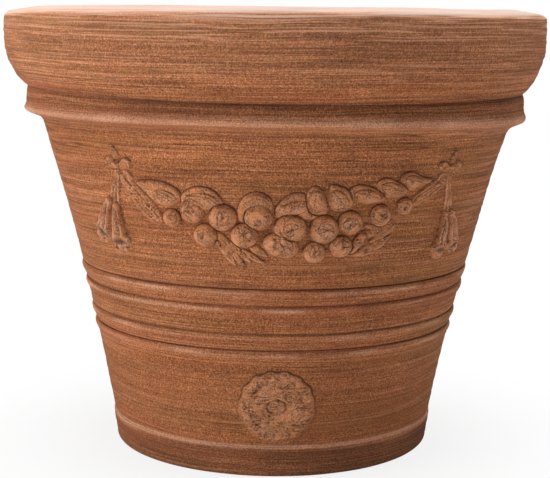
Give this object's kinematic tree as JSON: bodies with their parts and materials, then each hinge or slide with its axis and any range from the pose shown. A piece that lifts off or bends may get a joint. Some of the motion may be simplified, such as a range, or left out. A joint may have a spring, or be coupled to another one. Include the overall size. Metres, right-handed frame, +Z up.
{
  "type": "planter pot",
  "caption": "Round tapered terracotta planter with a heavy rolled rim, turned beads, applied fruit festoons and a plain round seal, open at the top with a central drain hole.",
  "frame": {"origin": "centre of the face that the pot stands on", "axes": "+Z up along the pot's axis; -Y is the front, with the seal and the middle of one festoon; +X to the right of the front"},
  "size_m": [0.5, 0.5, 0.405],
  "materials": {
    "terracotta": "unglazed, brushed, matt",
    "terracotta_sprig": "unglazed, pressed, matt"
  },
  "bodies": {
    "root": {"base_slab": "terracotta", "lower_wall": "terracotta", "belt_wall": "terracotta", "upper_wall": "terracotta", "neck_band": "terracotta", "rim_roll": "terracotta", "seal_pad": "terracotta_sprig", "leaf_1": "terracotta_sprig", "leaf_2": "terracotta_sprig", "leaf_3": "terracotta_sprig", "leaf_4": "terracotta_sprig", "leaf_5": "terracotta_sprig", "leaf_6": "terracotta_sprig", "leaf_7": "terracotta_sprig", "leaf_8": "terracotta_sprig", "leaf_9": "terracotta_sprig", "fruit_1": "terracotta_sprig", "fruit_2": "terracotta_sprig", "fruit_3": "terracotta_sprig", "fruit_4": "terracotta_sprig", "fruit_5": "terracotta_sprig", "fruit_6": "terracotta_sprig", "fruit_7": "terracotta_sprig", "fruit_8": "terracotta_sprig", "fruit_9": "terracotta_sprig", "fruit_10": "terracotta_sprig", "fruit_11": "terracotta_sprig", "fruit_12": "terracotta_sprig", "fruit_13": "terracotta_sprig", "rosette": "terracotta_sprig", "bud": "terracotta_sprig", "spray_left": "terracotta_sprig", "spray_right": "terracotta_sprig", "bow_left": "terracotta_sprig", "bow_right": "terracotta_sprig", "ribbon_left": "terracotta_sprig", "ribbon_right": "terracotta_sprig", "stem_left": "terracotta_sprig", "stem_right": "terracotta_sprig", "outer_bell_left": "terracotta_sprig", "outer_bell_right": "terracotta_sprig", "inner_bell_left": "terracotta_sprig", "inner_bell_right": "terracotta_sprig"}
  },
  "joints": []
}
